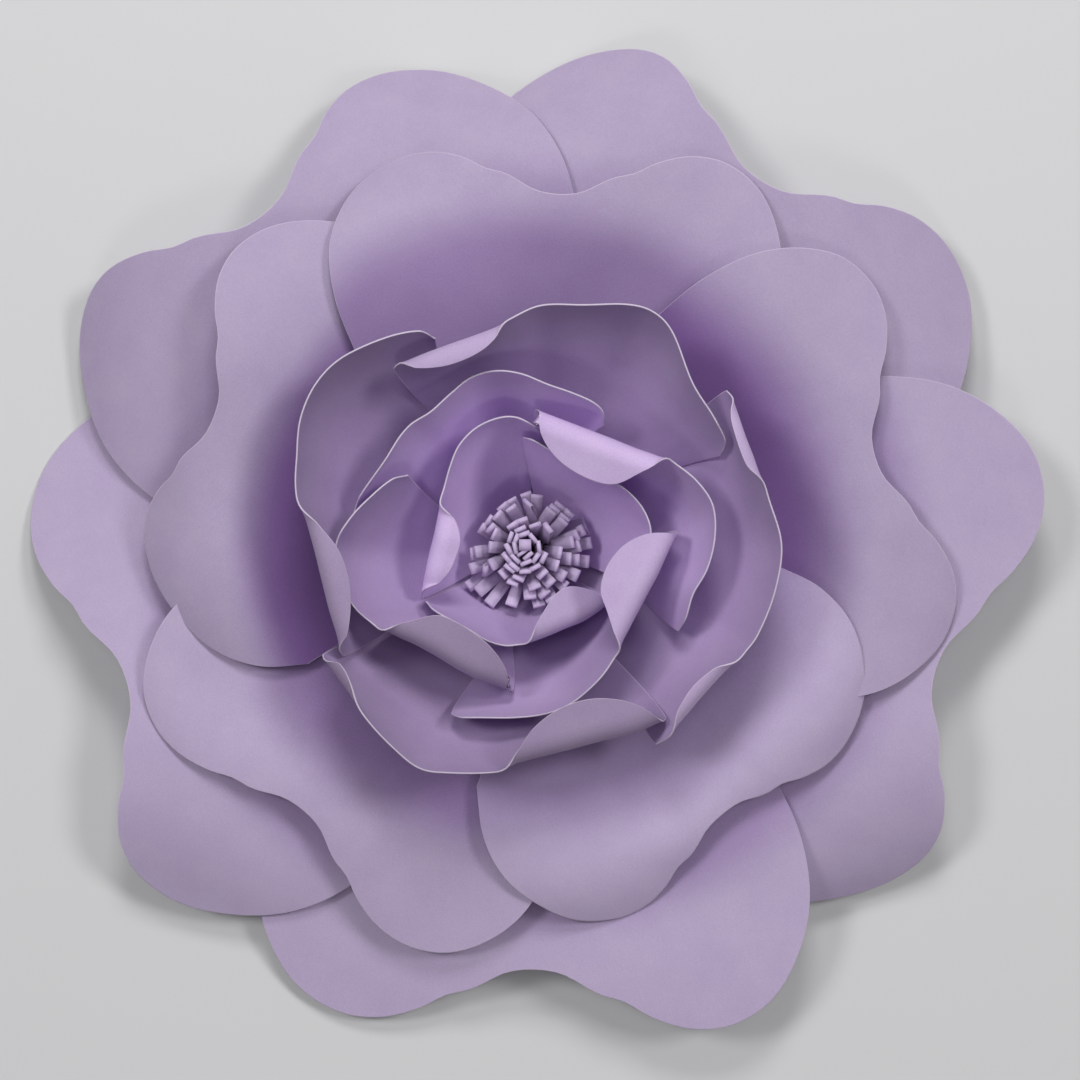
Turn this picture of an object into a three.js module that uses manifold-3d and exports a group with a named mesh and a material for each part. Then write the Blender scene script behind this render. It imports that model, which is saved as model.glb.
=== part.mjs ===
import * as THREE from 'three';
import { mergeVertices } from 'three/addons/utils/BufferGeometryUtils.js';
import Module from 'manifold-3d';

// A giant paper flower lying on its back: five rings of folded paper petals on a
// card disc, with a rolled strip of cut paper loops in the middle.
// Millimetres, +Z up, origin at the centre of the disc's flat back.

// driving dimensions
const PAPER = 0.5;            // petal sheet thickness
const REST_GAP = 2.0;         // air left where one petal lies over another
const GROUND_CLEARANCE = 1.5; // lobes curl down no further than this above the back
const DISC_RADIUS = 48;
const DISC_THICKNESS = 1.2;
const DISC_SIDES = 48;
const FOOT_HEIGHT = 2.0;      // height of every petal's glued foot above the back

// flat petal outline of the two outer rings, half of it, from the middle of the
// rim (x 0) out round one lobe and down to where the straight side starts
const HALF_OUTLINE = [
  [0, 185], [14, 187], [27, 194], [34, 197.5], [46, 201], [60, 209], [80, 215],
  [101, 213], [121, 200], [134, 176], [139, 148], [134, 116], [120, 84],
];
const FOOT_HALF_WIDTH = 24;   // half width of the flat petal's foot
const FOOT_ARC = 0.9;         // the foot is a shallow arc, this half angle in radians
const FOOT_DEPTH = 3;         // and this deep
const WRAP_LIMIT = 0.995;     // the flattest cone a petal is wrapped round
const OUTLINE_STEPS = 8;      // points between two of the outline's
const RIM_STEPS = 6;          // and between two rows of a cup petal's rim
const LOBE_ROLL_WIDTH = 90;   // a lobe curls back evenly over this width
const PROFILE_START = 20;     // the petal's rise eases from this far up its middle
const PROFILE_END = 190;      // to this far up

// az: direction the petal points, degrees clockwise from +Y
// size: scale of the flat outline; rise: slope at the foot and at the rim, degrees
// wrap: how closely the sheet follows a cone round the flower's axis (1 = exactly)
// left / right: lobe curl [fold line angle, distance of the fold line, turn], degrees and mm
// each ring is listed in the order it is glued, so a later petal lies over an earlier one
// foot: radius of the ring's feet; tilt: slope, degrees, that the ring's petals rest at
// crown: how far a petal bows up between its two lobes
const CROWN_SPREAD = 0.42;    // share of the half rim that the bow spreads over
const CROWN_START = 0.3;      // share of the petal's length where it begins
const OUTER_RING = { foot: 33, tilt: 12, crown: 0 };
const OUTER = [
  { name: 'outer_petal_1', az: 32, size: 1.03, rise: [17, 11], wrap: 1.0,
    left: [58, 102, -56], right: [42, 122, -42] },
  { name: 'outer_petal_2', az: 107, size: 1.0, rise: [18, 6], wrap: 0.98,
    left: [42, 104, -12], right: [58, 114, -54] },
  { name: 'outer_petal_3', az: 180, size: 1.01, rise: [17, 5], wrap: 1.01,
    left: [54, 107, -16], right: [38, 78, -22] },
  { name: 'outer_petal_4', az: 252, size: 1.02, rise: [17, 10], wrap: 1.0,
    left: [58, 104, -42], right: [52, 78, -36] },
  { name: 'outer_petal_5', az: 321, size: 1.02, rise: [17, 9], wrap: 1.0,
    left: [58, 110, -50], right: [45, 117, -50] },
];
const SECOND_RING = { foot: 31, tilt: 24, crown: 11 };
const SECOND = [
  { name: 'second_petal_1', az: 221, size: 0.83, rise: [29, 3], wrap: 0.99,
    left: [38, 96, -24], right: [38, 104, -20] },
  { name: 'second_petal_2', az: 292, size: 0.83, rise: [31, 16], wrap: 1.02,
    left: [45, 88, -50], right: [58, 114, -40] },
  { name: 'second_petal_3', az: 4, size: 0.83, rise: [26, 2], wrap: 0.95,
    left: [38, 146, -50], right: [58, 136, -28] },
  { name: 'second_petal_4', az: 75, size: 0.83, rise: [26, 2], wrap: 0.95,
    left: [45, 148, -24], right: [55, 130, -34] },
  { name: 'second_petal_5', az: 144, size: 0.8, rise: [31, 16], wrap: 1.0,
    left: [38, 66, -42], right: [38, 90, -44] },
];

// The three inner rings stand up as cups. Each row of a petal's rim is
// [direction in degrees, radius, height, lip], the lip being how far the paper
// beyond the fold is rolled inward over the flower, seen from above.
// halfFoot: half the angle the foot spans; rise: slope at the foot and at the rim
// shift: how far the foot's two ends stand outside the ring's own foot
const THIRD_RING = { foot: 25, halfFoot: 41, rise: [47, 72], rollRadius: 8 };
const THIRD = [
  { name: 'third_petal_1', az: 99, shift: [1.2, 1.2], rim: [
    [51, 122, 90, 0], [56, 119, 97, 5], [62, 116, 102, 6], [69, 115, 103, 6], [77, 115, 103, 1],
    [89, 119, 103, 0], [100, 118, 102, 0], [111, 116, 101, 0], [117, 113, 101, 1],
    [124, 110, 100, 6], [131, 109, 99, 8], [138, 110, 97, 6], [144, 112, 93, 2], [148, 114, 87, 0]
  ] },
  { name: 'third_petal_2', az: 191, shift: [-1.2, 1.2], rim: [
    [142, 106, 90, 0], [146, 104, 94, 10], [152, 102, 97, 19], [161, 99, 99, 23],
    [170, 99, 100, 22], [178, 101, 101, 16], [184, 104, 101, 6], [191, 110, 101, 0],
    [200, 115, 101, 0], [207, 119, 101, 0], [215, 117, 100, 0], [225, 114, 99, 2],
    [233, 113, 96, 5], [239, 114, 92, 6], [243, 115, 87, 1]
  ] },
  { name: 'third_petal_3', az: 286, shift: [-1.2, 1.2], rim: [
    [240, 107, 87, 0], [246, 104, 92, 7], [253, 103, 95, 12], [261, 103, 98, 14],
    [269, 105, 100, 12], [277, 110, 101, 5], [284, 117, 102, 0], [291, 121, 102, 0],
    [299, 127, 103, 0], [307, 130, 103, 0], [315, 129, 102, 0], [325, 123, 100, 0],
    [332, 118, 96, 0], [335, 113, 88, 0]
  ] },
  { name: 'third_petal_4', az: 12, shift: [-1.2, -1.2], rim: [
    [322, 111, 92, 0], [329, 108, 97, 8], [337, 106, 100, 11], [346, 106, 102, 9],
    [354, 109, 103, 2], [2, 116, 103, 0], [12, 119, 102, 0], [21, 125, 102, 0], [27, 127, 101, 0],
    [33, 123, 100, 0], [44, 110, 99, 0], [54, 107, 97, 0], [61, 106, 93, 0], [64, 102, 85, 0]
  ] },
];
const FOURTH_RING = { foot: 21, halfFoot: 40, rise: [52, 76], rollRadius: 7 };
const FOURTH = [
  { name: 'fourth_petal_1', az: 333, shift: [1.2, 1.2], rim: [
    [281, 90, 76, 0], [290, 86, 82, 2], [302, 83, 87, 2], [314, 84, 90, 0], [323, 82, 91, 0],
    [332, 84, 92, 0], [340, 87, 92, 0], [348, 87, 92, 0], [356, 84, 91, 0], [5, 79, 90, 0],
    [14, 77, 88, 0], [22, 76, 85, 0], [27, 74, 80, 0], [30, 69, 73, 0]
  ] },
  { name: 'fourth_petal_2', az: 62, shift: [-1.2, 1.2], rim: [
    [1, 68, 74, 0], [5, 66, 79, 8], [12, 64, 83, 16], [22, 63, 87, 21], [36, 65, 90, 23],
    [46, 69, 91, 20], [53, 74, 92, 8], [59, 79, 92, 0], [68, 85, 92, 0], [77, 89, 92, 0],
    [87, 88, 91, 0], [97, 85, 90, 0], [106, 81, 88, 0], [114, 82, 84, 0], [120, 83, 76, 0]
  ] },
  { name: 'fourth_petal_3', az: 148, shift: [-1.2, 1.2], rim: [
    [84, 72, 76, 0], [87, 69, 79, 10], [94, 65, 84, 20], [103, 62, 87, 24], [113, 60, 89, 24],
    [122, 60, 90, 21], [129, 61, 91, 13], [136, 63, 92, 5], [143, 66, 92, 0], [151, 70, 92, 0],
    [159, 74, 91, 0], [167, 78, 90, 0], [176, 81, 89, 0], [186, 83, 88, 0], [196, 86, 86, 0],
    [203, 90, 82, 0], [206, 92, 76, 0]
  ] },
  { name: 'fourth_petal_4', az: 243, shift: [-1.2, -1.2], rim: [
    [188, 72, 73, 0], [191, 71, 77, 6], [197, 70, 81, 13], [204, 70, 85, 18], [213, 70, 88, 20],
    [222, 71, 90, 20], [230, 74, 91, 18], [237, 79, 92, 8], [244, 85, 92, 0], [252, 91, 92, 0],
    [262, 95, 92, 0], [271, 95, 91, 0], [279, 89, 91, 0], [287, 82, 89, 0], [295, 76, 86, 0],
    [300, 71, 79, 0]
  ] },
];
const INNER_RING = { foot: 17.5, halfFoot: 53, rise: [60, 80], rollRadius: 6 };
const INNER = [
  { name: 'inner_petal_1', az: 183, shift: [1, 1], rim: [
    [124, 47, 58, 0], [129, 46, 63, 8], [136, 45, 67, 15], [146, 44, 71, 18], [157, 43, 73, 16],
    [169, 44, 74, 10], [179, 46, 75, 4], [188, 48, 75, 0], [196, 50, 75, 0], [206, 51, 74, 0],
    [216, 51, 73, 0], [226, 53, 71, 0], [236, 57, 68, 0], [243, 60, 62, 0]
  ] },
  { name: 'inner_petal_2', az: 303, shift: [-1, 1], rim: [
    [245, 61, 58, 0], [250, 58, 62, 4], [258, 54, 67, 10], [267, 51, 70, 12], [277, 49, 73, 12],
    [287, 49, 74, 8], [295, 50, 75, 2], [304, 52, 75, 0], [314, 56, 76, 0], [324, 61, 77, 0],
    [334, 64, 77, 0], [344, 65, 77, 0], [352, 64, 76, 0], [359, 60, 73, 0], [5, 56, 66, 0]
  ] },
  { name: 'inner_petal_3', az: 56, shift: [-1, -1], rim: [
    [355, 55, 66, 0], [3, 51, 71, 0], [14, 47, 74, 0], [26, 45, 75, 0], [38, 46, 76, 0],
    [50, 50, 76, 0], [61, 54, 77, 0], [72, 57, 77, 0], [82, 58, 77, 0], [91, 56, 76, 0],
    [100, 53, 74, 0], [107, 51, 70, 0], [111, 49, 63, 0]
  ] },
];
const LIP_MINIMUM = 4;        // sheet above the fold line where there is no lip
const LIP_FULL = 6;           // a lip this wide is rolled as tightly as any
const LIP_ROUND = 2;          // extra sheet that goes into the roll itself
const LIP_ELEVATION = 203;    // slope, degrees, where a rolled lip straightens out
const LEAST_BEND = 0.04;      // share of the full bend left where nothing is rolled
const FOLD_SHARE = 0.76;      // share of the rows, foot to edge, below the fold line
const RIM_LOOK = 0.07;        // share of the rim looked at to either side for its direction
const INWARD_LEAN = 0.35;     // how much a lip turns to the flower's middle
const CUP_REACH = 0.35;       // fullness of the curve from foot to rim

// centre: a strip folded lengthwise, cut across the fold into loops and rolled up
const ROLL_RADIUS = 14;
const ROLL_HEIGHT = 24;
const ROLL_FOOT = 1.5;
const LOOP_WIDTH = 6.4;
const LOOP_THICKNESS = 2.0;
const LOOP_ROOT = 6;          // length of a loop sunk in the roll
const LOOP_START = 3;         // depth below the roll's top that it leans from
const LOOP_UNEVEN = 4;        // degrees that a loop's lean may differ
const ROLL_SIDES = 36;
const LOOP_RINGS = [          // number, start radius, lean outward, length, turn of the ring
  { count: 4, radius: 2.2, lean: 5, length: 27, turn: 20 },
  { count: 8, radius: 5.0, lean: 13, length: 27, turn: 5 },
  { count: 13, radius: 7.6, lean: 23, length: 27, turn: 12 },
  { count: 17, radius: 10.0, lean: 34, length: 27, turn: 0 },
  { count: 21, radius: 12.0, lean: 46, length: 26, turn: 9 },
];

const rad = (d) => (d * Math.PI) / 180;
const clamp = (x, a, b) => Math.min(b, Math.max(a, x));

// the outer two rings: a flat sheet, curled and wrapped
function catmull(points, steps) {
  const first = points[0].map((c, i) => 2 * c - points[1][i]);
  const end = points[points.length - 1].map((c, i) => 2 * c - points[points.length - 2][i]);
  const p = [first, ...points, end];
  const out = [];
  for (let i = 1; i < p.length - 2; i += 1) {
    for (let k = 0; k < steps; k += 1) {
      const t = k / steps;
      out.push(p[i].map((c, j) => 0.5 * (2 * c + (p[i + 1][j] - p[i - 1][j]) * t
        + (2 * p[i - 1][j] - 5 * c + 4 * p[i + 1][j] - p[i + 2][j]) * t * t
        + (3 * c - p[i - 1][j] - 3 * p[i + 1][j] + p[i + 2][j]) * t * t * t)));
    }
  }
  out.push(p[p.length - 2]);
  return out;
}
function lengthsAlong(line, dims) {
  const out = [0];
  for (let i = 1; i < line.length; i += 1) {
    let d = 0;
    for (let j = 0; j < dims; j += 1) d += (line[i][j] - line[i - 1][j]) ** 2;
    out.push(out[i - 1] + Math.sqrt(d));
  }
  return out;
}
function pointAt(line, lengths, s) {
  const want = clamp(s, 0, 1) * lengths[lengths.length - 1];
  let i = 1;
  while (i < lengths.length - 1 && lengths[i] < want) i += 1;
  const f = clamp((want - lengths[i - 1]) / (lengths[i] - lengths[i - 1]), 0, 1);
  return line[i - 1].map((c, j) => c + (line[i][j] - c) * f);
}
const mirrored = HALF_OUTLINE.slice(1).reverse().map(([x, y]) => [-x, y]);
const outline = catmull([...mirrored, ...HALF_OUTLINE], OUTLINE_STEPS);
const outlineLengths = lengthsAlong(outline, 2);

function curl(p, side, [angle, start, turn], size) {
  const nx = side * Math.sin(rad(angle));
  const ny = Math.cos(rad(angle));
  const s = p[0] * nx + p[1] * ny - start * size;
  if (s <= 0) return p;
  const width = LOBE_ROLL_WIDTH * size;
  const radius = width / rad(turn);
  const a = Math.min(s, width) / radius;
  const beyond = Math.max(s - width, 0);
  const along = radius * Math.sin(a) + beyond * Math.cos(a);
  const up = radius * (1 - Math.cos(a)) + beyond * Math.sin(a);
  return [p[0] + (along - s) * nx, p[1] + (along - s) * ny, p[2] + up];
}
function wrapRound(p, apex, k) {
  const rho = Math.hypot(p[0], p[1] + apex);
  const psi = Math.atan2(p[0], p[1] + apex) / k;
  const flat = Math.sqrt(1 - k * k);
  const c = Math.cos(psi);
  const s = Math.sin(psi);
  return [rho * k * s - p[2] * flat * s,
    rho * (1 - k * k * (1 - c)) + p[2] * k * flat * (1 - c) - apex,
    rho * k * flat * (1 - c) + p[2] * (flat * flat * c + k * k)];
}
function raise(p, rise, size) {
  const a = rad(rise[0]);
  const b = rad(rise[1]);
  const y0 = PROFILE_START * size;
  const y1 = PROFILE_END * size;
  const bend = (b - a) / (y1 - y0);
  const t = clamp(p[1] - y0, 0, y1 - y0);
  const slope = a + bend * t;
  const low = Math.min(p[1], y0);
  const high = Math.max(p[1] - y1, 0);
  const r = low * Math.cos(a) + (Math.sin(slope) - Math.sin(a)) / bend + high * Math.cos(b);
  const z = low * Math.sin(a) - (Math.cos(slope) - Math.cos(a)) / bend + high * Math.sin(b);
  return [p[0], r - p[2] * Math.sin(slope), z + p[2] * Math.cos(slope)];
}
function turned([x, y, z], az) {
  const c = Math.cos(rad(az));
  const s = Math.sin(rad(az));
  return [x * c + y * s, -x * s + y * c, z];
}
function sheetPoint(petal, ring, u, v) {
  const [ex, ey] = pointAt(outline, outlineLengths, (u + 1) / 2);
  const fx = (FOOT_HALF_WIDTH * Math.sin(u * FOOT_ARC)) / Math.sin(FOOT_ARC);
  const fy = FOOT_DEPTH * (Math.cos(u * FOOT_ARC) - Math.cos(FOOT_ARC));
  const size = petal.size;
  let p = [(fx + (ex - fx) * v) * size, (fy + (ey - fy) * v) * size, 0];
  p = curl(p, -1, petal.left, size);
  p = curl(p, 1, petal.right, size);
  const k = Math.min(WRAP_LIMIT, Math.cos(rad(petal.rise[0])) * petal.wrap);
  p = wrapRound(p, ring.foot / Math.cos(rad(petal.rise[0])), k);
  p = raise(p, petal.rise, size);
  const along = clamp((v - CROWN_START) / (1 - CROWN_START), 0, 1);
  const bow = ring.crown * Math.exp(-((u / CROWN_SPREAD) ** 2)) * along * along * (3 - 2 * along);
  return turned([p[0], p[1] + ring.foot, p[2] + FOOT_HEIGHT + bow], petal.az);
}

// Lay a petal over the ones glued before it. Heights are kept on a polar map of the
// cone the ring lies on; where the petal would sink into what is under it, the map
// holds how far it is lifted, eased out round the place like a resting sheet.
const MAP_TURNS = 120;
const MAP_STEPS = 80;
const MAP_STEP = 3.5;         // mm
const MAP_ROUNDS = 14;        // rounds of easing
const EMPTY = 1e6;            // height of a place that nothing covers
const DENSE_U = 90;
const DENSE_V = 48;
function onCone([x, y, z], tilt) {
  const r = Math.hypot(x, y);
  const c = Math.cos(rad(tilt));
  const s = Math.sin(rad(tilt));
  const turn = (Math.atan2(x, y) / (2 * Math.PI) + 1) % 1;
  return [turn * MAP_TURNS, (r * c + z * s) / MAP_STEP, -r * s + z * c];
}
const cell = (i, j) => ((i + MAP_TURNS) % MAP_TURNS) * MAP_STEPS + clamp(j, 0, MAP_STEPS - 1);
function spread(points, tilt, pick, empty) {
  const map = new Float64Array(MAP_TURNS * MAP_STEPS).fill(empty);
  for (const p of points) {
    const [a, s, n] = onCone(p, tilt);
    const c = cell(Math.round(a), Math.round(s));
    map[c] = pick(map[c], n);
  }
  return map;
}
function widen(map, pick) {
  const out = new Float64Array(map);
  for (let i = 0; i < MAP_TURNS; i += 1) {
    for (let j = 0; j < MAP_STEPS; j += 1) {
      for (const [di, dj] of [[1, 0], [-1, 0], [0, 1], [0, -1]]) {
        if (j + dj < 0 || j + dj >= MAP_STEPS) continue;
        out[cell(i, j)] = pick(out[cell(i, j)], map[cell(i + di, j + dj)]);
      }
    }
  }
  return out;
}
function liftMap(under, own, tilt) {
  const top = widen(spread(under, tilt, Math.max, -EMPTY), Math.max);
  const low = spread(own, tilt, Math.min, EMPTY);
  const need = new Float64Array(top.length);
  for (let i = 0; i < need.length; i += 1) {
    if (top[i] > -EMPTY && low[i] < EMPTY) need[i] = Math.max(0, top[i] + REST_GAP - low[i]);
  }
  for (const p of own) {
    const [a, s] = onCone(p, tilt);
    const c = cell(Math.round(a), Math.round(s));
    need[c] = Math.max(need[c], (GROUND_CLEARANCE - p[2]) / Math.cos(rad(tilt)));
  }
  let lift = widen(need, Math.max);
  const held = new Float64Array(lift);
  for (let round = 0; round < MAP_ROUNDS; round += 1) {
    const next = new Float64Array(lift.length);
    for (let i = 0; i < MAP_TURNS; i += 1) {
      for (let j = 0; j < MAP_STEPS; j += 1) {
        const mean = (lift[cell(i, j)] * 2 + lift[cell(i + 1, j)] + lift[cell(i - 1, j)]
          + lift[cell(i, j + 1)] + lift[cell(i, j - 1)]) / 6;
        next[cell(i, j)] = Math.max(mean, held[cell(i, j)]);
      }
    }
    lift = next;
  }
  return lift;
}
function lifted(p, lift, tilt) {
  const [a, s] = onCone(p, tilt);
  const i = Math.floor(a);
  const j = Math.floor(s);
  const f = a - i;
  const g = s - j;
  const d = (lift[cell(i, j)] * (1 - f) + lift[cell(i + 1, j)] * f) * (1 - g)
    + (lift[cell(i, j + 1)] * (1 - f) + lift[cell(i + 1, j + 1)] * f) * g;
  const r = Math.hypot(p[0], p[1]);
  const inward = (-Math.sin(rad(tilt)) * d) / r;
  return [p[0] * (1 + inward), p[1] * (1 + inward), p[2] + Math.cos(rad(tilt)) * d];
}

// the inner three rings: cups drawn from foot to rim
function cupPoint(petal, ring, u, v) {
  const { line, lengths } = petal.path;
  const s = (u + 1) / 2;
  const [x, y, z, lip] = pointAt(line, lengths, s);
  const before = pointAt(line, lengths, Math.max(0, s - RIM_LOOK));
  const after = pointAt(line, lengths, Math.min(1, s + RIM_LOOK));
  const radius = Math.hypot(x, y);
  const inX = -x / radius;
  const inY = -y / radius;
  let nx = before[1] - after[1];
  let ny = after[0] - before[0];
  if (nx * inX + ny * inY < 0) {
    nx = -nx;
    ny = -ny;
  }
  const n = Math.hypot(nx, ny);
  nx = nx / n + inX * INWARD_LEAN;
  ny = ny / n + inY * INWARD_LEAN;
  const m = Math.hypot(nx, ny);
  nx /= m;
  ny /= m;
  const [e0, e1] = ring.rise.map(rad);
  const amount = clamp(lip, 0, LIP_FULL) / LIP_FULL;
  const over = LIP_MINIMUM + lip + LIP_ROUND * amount;
  if (v > FOLD_SHARE) {
    const length = ((v - FOLD_SHARE) / (1 - FOLD_SHARE)) * over;
    const bend = Math.max(amount * amount * (3 - 2 * amount), LEAST_BEND) / ring.rollRadius;
    const limit = (rad(LIP_ELEVATION) - e1) / bend;
    const arc = Math.min(length, limit);
    const straight = length - arc;
    const e = e1 + arc * bend;
    const inward = (Math.sin(e1) - Math.sin(e)) / bend - Math.cos(e) * straight;
    const up = (Math.cos(e1) - Math.cos(e)) / bend + Math.sin(e) * straight;
    return [x + nx * inward, y + ny * inward, z + up];
  }
  const az = rad(petal.az + u * ring.halfFoot);
  const footRadius = ring.foot + petal.shift[0] + (petal.shift[1] - petal.shift[0]) * s;
  const foot = [footRadius * Math.sin(az), footRadius * Math.cos(az), FOOT_HEIGHT];
  const reach = CUP_REACH * Math.hypot(x - foot[0], y - foot[1], z - foot[2]);
  const out = reach * Math.cos(e0);
  const first = [foot[0] + out * Math.sin(az), foot[1] + out * Math.cos(az), foot[2] + reach * Math.sin(e0)];
  const second = [x + nx * reach * Math.cos(e1), y + ny * reach * Math.cos(e1), z - reach * Math.sin(e1)];
  const t = v / FOLD_SHARE;
  return [x, y, z].map((c, i) => foot[i] * (1 - t) ** 3 + 3 * first[i] * t * (1 - t) ** 2
    + 3 * second[i] * t * t * (1 - t) + c * t ** 3);
}

// solids
function shell(point, us, vs) {
  const grid = us.map((u) => vs.map((v) => point(u, v)));
  const nu = us.length;
  const nv = vs.length;
  const sub = (a, b) => [a[0] - b[0], a[1] - b[1], a[2] - b[2]];
  const sides = [1, -1].map((side) => grid.map((column, i) => column.map((p, j) => {
    const a = sub(grid[Math.min(i + 1, nu - 1)][j], grid[Math.max(i - 1, 0)][j]);
    const b = sub(grid[i][Math.min(j + 1, nv - 1)], grid[i][Math.max(j - 1, 0)]);
    const n = [a[1] * b[2] - a[2] * b[1], a[2] * b[0] - a[0] * b[2], a[0] * b[1] - a[1] * b[0]];
    const k = (side * PAPER) / 2 / Math.hypot(...n);
    return p.map((c, m) => c + n[m] * k);
  })));
  const positions = [];
  for (const layer of sides) for (const column of layer) for (const p of column) positions.push(...p);
  const id = (layer, i, j) => layer * nu * nv + i * nv + j;
  const index = [];
  const quad = (a, b, c, d) => index.push(a, b, c, a, c, d);
  for (let i = 0; i < nu - 1; i += 1) {
    for (let j = 0; j < nv - 1; j += 1) {
      quad(id(0, i, j), id(0, i + 1, j), id(0, i + 1, j + 1), id(0, i, j + 1));
      quad(id(1, i, j), id(1, i, j + 1), id(1, i + 1, j + 1), id(1, i + 1, j));
    }
    quad(id(0, i, 0), id(1, i, 0), id(1, i + 1, 0), id(0, i + 1, 0));
    quad(id(0, i, nv - 1), id(0, i + 1, nv - 1), id(1, i + 1, nv - 1), id(1, i, nv - 1));
  }
  for (let j = 0; j < nv - 1; j += 1) {
    quad(id(0, 0, j), id(0, 0, j + 1), id(1, 0, j + 1), id(1, 0, j));
    quad(id(0, nu - 1, j), id(1, nu - 1, j), id(1, nu - 1, j + 1), id(0, nu - 1, j + 1));
  }
  const geometry = new THREE.BufferGeometry();
  geometry.setAttribute('position', new THREE.Float32BufferAttribute(positions, 3));
  geometry.setIndex(index);
  return geometry;
}
const spaced = (n, a, b) => Array.from({ length: n + 1 }, (_, i) => a + ((b - a) * i) / n);
const SHEET_ROWS = spaced(8, 0, 1);
const SHEET_COLUMNS = spaced(16, -1, 1);
const CUP_ROWS = [...spaced(5, 0, FOLD_SHARE), 0.84, 0.92, 1];
const CUP_COLUMNS = spaced(15, -1, 1);

function colour(hex) {
  return new THREE.MeshStandardMaterial({ color: hex, roughness: 0.85, metalness: 0, side: THREE.FrontSide });
}
function named(geometry, name, hex) {
  geometry.computeVertexNormals();
  const mesh = new THREE.Mesh(geometry, colour(hex));
  mesh.name = name;
  return mesh;
}

// rolled strip with its splayed loops, one body
function solidOf(wasm, shape) {
  shape.deleteAttribute('normal');
  shape.deleteAttribute('uv');
  const { attributes, index } = mergeVertices(shape);
  const vertProperties = new Float32Array(attributes.position.array);
  const triVerts = new Uint32Array(index.array);
  return new wasm.Manifold(new wasm.Mesh({ numProp: 3, vertProperties, triVerts }));
}
function loopBar(ring, r, i) {
  const length = ring.length + LOOP_ROOT;
  const lean = ring.lean + LOOP_UNEVEN * Math.sin(i * 2.4 + r * 1.7);
  const bar = new THREE.BoxGeometry(LOOP_WIDTH, LOOP_THICKNESS, length);
  bar.translate(0, 0, length / 2 - LOOP_ROOT);
  bar.rotateX(-rad(lean));
  bar.translate(0, ring.radius, ROLL_FOOT + ROLL_HEIGHT - LOOP_START);
  bar.rotateZ(-rad(ring.turn + (360 * i) / ring.count));
  return bar;
}
async function rolledStrip() {
  const wasm = await Module();
  wasm.setup();
  const roll = new THREE.CylinderGeometry(ROLL_RADIUS, ROLL_RADIUS, ROLL_HEIGHT, ROLL_SIDES);
  roll.rotateX(Math.PI / 2);
  roll.translate(0, 0, ROLL_FOOT + ROLL_HEIGHT / 2);
  let body = solidOf(wasm, roll);
  LOOP_RINGS.forEach((ring, r) => {
    for (let i = 0; i < ring.count; i += 1) body = body.add(solidOf(wasm, loopBar(ring, r, i)));
  });
  const { numProp, vertProperties, triVerts } = body.getMesh();
  const positions = [];
  for (let k = 0; k < vertProperties.length; k += numProp) positions.push(...vertProperties.slice(k, k + 3));
  const geometry = new THREE.BufferGeometry();
  geometry.setAttribute('position', new THREE.Float32BufferAttribute(positions, 3));
  geometry.setIndex(Array.from(triVerts));
  return geometry;
}

const flower = new THREE.Group();
flower.name = 'giant_paper_flower';

const disc = new THREE.CylinderGeometry(DISC_RADIUS, DISC_RADIUS, DISC_THICKNESS, DISC_SIDES);
disc.rotateX(Math.PI / 2);
disc.translate(0, 0, DISC_THICKNESS / 2);
flower.add(named(disc, 'backing_disc', 0xb9a8cc));

const under = [];
for (const [petals, ring, hex] of [[OUTER, OUTER_RING, 0xb3a3c9], [SECOND, SECOND_RING, 0xae9cc6]]) {
  for (const petal of petals) {
    const own = [];
    for (const u of spaced(DENSE_U, -1, 1)) {
      for (const v of spaced(DENSE_V, 0, 1)) own.push(sheetPoint(petal, ring, u, v));
    }
    const lift = liftMap(under, own, ring.tilt);
    for (const p of own) under.push(lifted(p, lift, ring.tilt));
    const place = (u, v) => lifted(sheetPoint(petal, ring, u, v), lift, ring.tilt);
    flower.add(named(shell(place, SHEET_COLUMNS, SHEET_ROWS), petal.name, hex));
  }
}
for (const [petals, ring, hex] of [[THIRD, THIRD_RING, 0xa896c0], [FOURTH, FOURTH_RING, 0xa593bd],
  [INNER, INNER_RING, 0xa28fbb]]) {
  for (const petal of petals) {
    const rows = petal.rim.map(([az, r, z, lip]) => [r * Math.sin(rad(az)), r * Math.cos(rad(az)), z, lip]);
    const line = catmull(rows, RIM_STEPS);
    const path = { line, lengths: lengthsAlong(line, 3) };
    const place = (u, v) => cupPoint({ ...petal, path }, ring, u, v);
    flower.add(named(shell(place, CUP_COLUMNS, CUP_ROWS), petal.name, hex));
  }
}
flower.add(named(await rolledStrip(), 'centre_fringe', 0xb5a4cb));

export default flower;
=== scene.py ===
import math

import bmesh
import bpy
import numpy as np
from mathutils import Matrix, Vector, noise


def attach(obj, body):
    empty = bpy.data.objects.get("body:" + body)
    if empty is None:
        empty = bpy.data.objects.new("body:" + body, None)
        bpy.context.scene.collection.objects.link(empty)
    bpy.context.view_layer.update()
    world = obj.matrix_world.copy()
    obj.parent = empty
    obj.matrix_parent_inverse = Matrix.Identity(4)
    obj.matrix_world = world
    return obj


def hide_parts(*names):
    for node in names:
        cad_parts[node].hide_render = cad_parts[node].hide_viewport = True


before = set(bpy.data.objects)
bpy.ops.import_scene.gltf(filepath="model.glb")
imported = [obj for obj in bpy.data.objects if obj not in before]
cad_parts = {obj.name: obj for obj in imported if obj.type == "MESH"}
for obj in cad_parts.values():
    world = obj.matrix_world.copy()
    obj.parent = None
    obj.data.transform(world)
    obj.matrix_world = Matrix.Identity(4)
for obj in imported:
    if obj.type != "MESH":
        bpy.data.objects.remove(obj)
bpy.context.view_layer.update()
mm = 0.001
print("frame loaded,", len(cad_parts), "nodes")

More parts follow.
